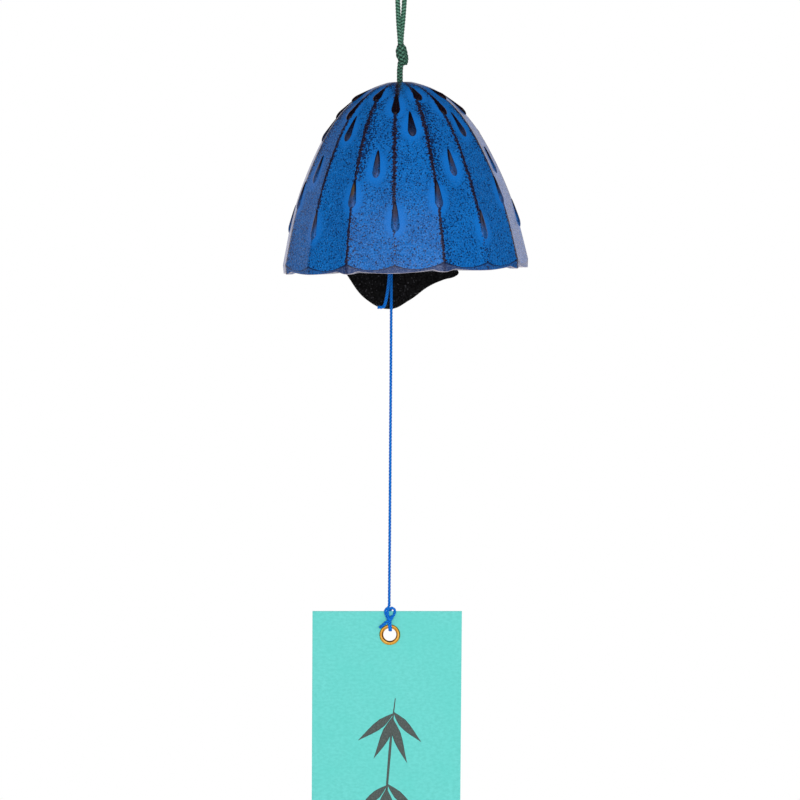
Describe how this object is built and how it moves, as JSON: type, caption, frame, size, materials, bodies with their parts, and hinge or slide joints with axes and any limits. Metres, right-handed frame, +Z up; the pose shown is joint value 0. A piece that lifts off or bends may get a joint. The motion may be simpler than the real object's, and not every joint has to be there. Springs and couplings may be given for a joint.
{
  "type": "wind bell",
  "caption": "Cast-iron wind bell: ridged dome with raised drops on a looped hanging cord, a flat clapper inside it and a card strip on a thread that catches the wind.",
  "frame": {"origin": "where the hanging loop bears on its hook or nail", "axes": "+Z up along the hanging cord, -Y to the front of the bell, +X to the right as seen from the front"},
  "size_m": [0.0799, 0.0798, 0.3943],
  "materials": {
    "blue_iron": "satin blue over dark iron, grainy as cast",
    "black_iron": "satin black",
    "green_cord": "braided cord",
    "blue_thread": "twisted thread",
    "eyelet_brass": "bright",
    "teal_card": "matt, finely grained"
  },
  "bodies": {
    "hanger": {"hanging_loop": "green_cord", "loop_knot": "green_cord"},
    "neck": {"neck_front": "green_cord", "neck_back": "green_cord", "stop_knot": "green_cord"},
    "bell": {"bell": "blue_iron"},
    "hitch": {"thread_hitch": "blue_thread"},
    "clapper": {"clapper_thread": "blue_thread", "clapper": "black_iron", "clapper_knot": "blue_thread", "thread_tail": "blue_thread"},
    "thread": {"strip_thread": "blue_thread"},
    "strip": {"strip_knot": "blue_thread", "knot_tail": "blue_thread", "eyelet_loop": "blue_thread", "eyelet": "eyelet_brass", "strip": "teal_card"}
  },
  "joints": [
    {"name": "bell_swing", "type": "hinge", "parent": "hanger", "child": "neck", "pos_m": [0.00071, 0, -0.05527], "axis": [0, 1, 0], "range_deg": [-15, 15]},
    {"name": "bell_turn", "type": "hinge", "parent": "neck", "child": "bell", "pos_m": [0, 0, -0.0603], "axis": [-0.0279, 0, 0.9996], "continuous": true},
    {"name": "clapper_swing", "type": "hinge", "parent": "neck", "child": "hitch", "pos_m": [-0.0033, 0, -0.06883], "axis": [0, 1, 0], "range_deg": [-18, 8.5]},
    {"name": "clapper_nod", "type": "hinge", "parent": "hitch", "child": "clapper", "pos_m": [-0.0031, -0.0004, -0.07217], "axis": [1, 0, 0], "range_deg": [-8, 8]},
    {"name": "strip_swing", "type": "hinge", "parent": "clapper", "child": "thread", "pos_m": [-0.0031, -0.0017, -0.1154], "axis": [1, 0, 0], "range_deg": [-40, 0]},
    {"name": "strip_turn", "type": "hinge", "parent": "thread", "child": "strip", "pos_m": [-0.0031, -0.0017, -0.2311], "axis": [0, 0, 1], "continuous": true}
  ]
}
